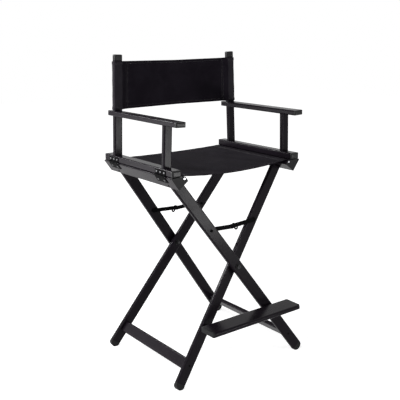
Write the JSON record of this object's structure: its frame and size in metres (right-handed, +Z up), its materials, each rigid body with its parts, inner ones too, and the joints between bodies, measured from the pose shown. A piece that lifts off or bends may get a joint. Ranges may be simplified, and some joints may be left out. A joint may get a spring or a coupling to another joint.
{
  "type": "makeup chair",
  "caption": "Tall folding makeup chair with a black aluminium cross frame, hinged arms, fabric seat and back, folding lock braces and a footrest that folds with the frame.",
  "frame": {"origin": "centre of the floor footprint, on the floor", "axes": "+Z up, -Y the way the sitter faces, +X to the right as seen from the front; the front legs and the footrest are at -Y"},
  "size_m": [0.599, 0.5716, 1.15],
  "materials": {
    "black_anodised": "satin black anodised extrusion with fine lengthwise lines",
    "black_plastic": "moulded black plastic with a light grain",
    "black_steel": "black finished steel",
    "bright_steel": "bright zinc plated",
    "canvas": "black woven polyester canvas"
  },
  "bodies": {
    "inner_frame": {"front_leg_inner": "black_anodised", "rear_leg_inner": "black_anodised", "foot_caps_inner": "black_plastic", "stretcher_left": "black_anodised", "stretcher_screws_left": "black_steel", "seat_rail_right": "black_anodised", "rail_plates_right": "black_plastic", "rail_bolts_right": "black_steel", "seat_rod_right": "bright_steel", "pivot_bolts": "black_steel", "pivot_nuts": "black_steel", "pivot_washers_inner": "black_plastic", "brace_bolts_inner": "black_steel", "lower_leaves_right": "black_steel", "lower_hinge_screws_right": "black_steel", "footrest_peg": "black_plastic", "seat_fabric": "canvas"},
    "outer_frame": {"front_leg_outer": "black_anodised", "rear_leg_outer": "black_anodised", "foot_caps_outer": "black_plastic", "stretcher_right": "black_anodised", "stretcher_screws_right": "black_steel", "seat_rail_left": "black_anodised", "rail_plates_left": "black_plastic", "rail_bolts_left": "black_steel", "seat_rod_left": "bright_steel", "pivot_washers_outer": "black_plastic", "brace_bolts_outer": "black_steel", "lower_leaves_left": "black_steel", "lower_hinge_screws_left": "black_steel", "footrest_pivot_bolt": "black_steel"},
    "arm_right": {"arm_rail_right": "black_anodised", "armrest_right": "black_anodised", "front_post_right": "black_anodised", "back_post_right": "black_anodised", "arm_caps_right": "black_plastic", "back_post_cap_right": "black_plastic", "upper_leaves_right": "black_steel", "upper_hinge_screws_right": "bright_steel", "hinge_pins_right": "bright_steel", "back_fabric": "canvas"},
    "arm_left": {"arm_rail_left": "black_anodised", "armrest_left": "black_anodised", "front_post_left": "black_anodised", "back_post_left": "black_anodised", "arm_caps_left": "black_plastic", "back_post_cap_left": "black_plastic", "upper_leaves_left": "black_steel", "upper_hinge_screws_left": "bright_steel", "hinge_pins_left": "bright_steel"},
    "front_brace_outer": {"brace_link_front_outer": "black_steel"},
    "front_brace_inner": {"brace_link_front_inner": "black_steel"},
    "rear_brace_outer": {"brace_link_rear_outer": "black_steel"},
    "rear_brace_inner": {"brace_link_rear_inner": "black_steel"},
    "footrest": {"footrest_board": "black_anodised", "footrest_caps": "black_plastic", "footrest_bracket": "black_steel", "footrest_screws": "bright_steel"}
  },
  "joints": [
    {"name": "fold", "type": "hinge", "parent": "inner_frame", "child": "outer_frame", "pos_m": [0, 0.03079, 0.39631], "axis": [0, 1, 0], "range_deg": [0, 62.4], "deforming": ["seat_fabric", "back_fabric"]},
    {"name": "arm_right_hinge", "type": "hinge", "parent": "inner_frame", "child": "arm_right", "pos_m": [0.29633, 0.03679, 0.7635], "axis": [0, 1, 0], "range_deg": [0, 31.2]},
    {"name": "arm_left_hinge", "type": "hinge", "parent": "outer_frame", "child": "arm_left", "pos_m": [-0.29633, 0.03679, 0.7635], "axis": [0, 1, 0], "range_deg": [-31.2, 0]},
    {"name": "front_brace_outer_pivot", "type": "hinge", "parent": "outer_frame", "child": "front_brace_outer", "pos_m": [-0.10994, -0.14139, 0.54651], "axis": [0, 0.9938, -0.1115], "range_deg": [-115.85, 0]},
    {"name": "front_brace_inner_pivot", "type": "hinge", "parent": "inner_frame", "child": "front_brace_inner", "pos_m": [0.10994, -0.13569, 0.54651], "axis": [0, 0.9938, -0.1115], "range_deg": [0, 115.85]},
    {"name": "rear_brace_outer_pivot", "type": "hinge", "parent": "outer_frame", "child": "rear_brace_outer", "pos_m": [-0.10994, 0.20297, 0.54651], "axis": [0, 0.9938, 0.1115], "range_deg": [-115.85, 0]},
    {"name": "rear_brace_inner_pivot", "type": "hinge", "parent": "inner_frame", "child": "rear_brace_inner", "pos_m": [0.10994, 0.19726, 0.54651], "axis": [0, 0.9938, 0.1115], "range_deg": [0, 115.85]},
    {"name": "footrest_pivot", "type": "hinge", "parent": "outer_frame", "child": "footrest", "pos_m": [0.15282, -0.20584, 0.1875], "axis": [0, 1, 0], "range_deg": [0, 53.8]}
  ],
  "couplings": [
    {"joint": "arm_right_hinge", "follows": "fold", "ratio": 0.5},
    {"joint": "arm_left_hinge", "follows": "fold", "ratio": -0.5},
    {"joint": "front_brace_outer_pivot", "follows": "fold", "ratio": -1.8566},
    {"joint": "front_brace_inner_pivot", "follows": "fold", "ratio": 1.8566},
    {"joint": "rear_brace_outer_pivot", "follows": "fold", "ratio": -1.8566},
    {"joint": "rear_brace_inner_pivot", "follows": "fold", "ratio": 1.8566},
    {"joint": "footrest_pivot", "follows": "fold", "ratio": 0.8622}
  ]
}
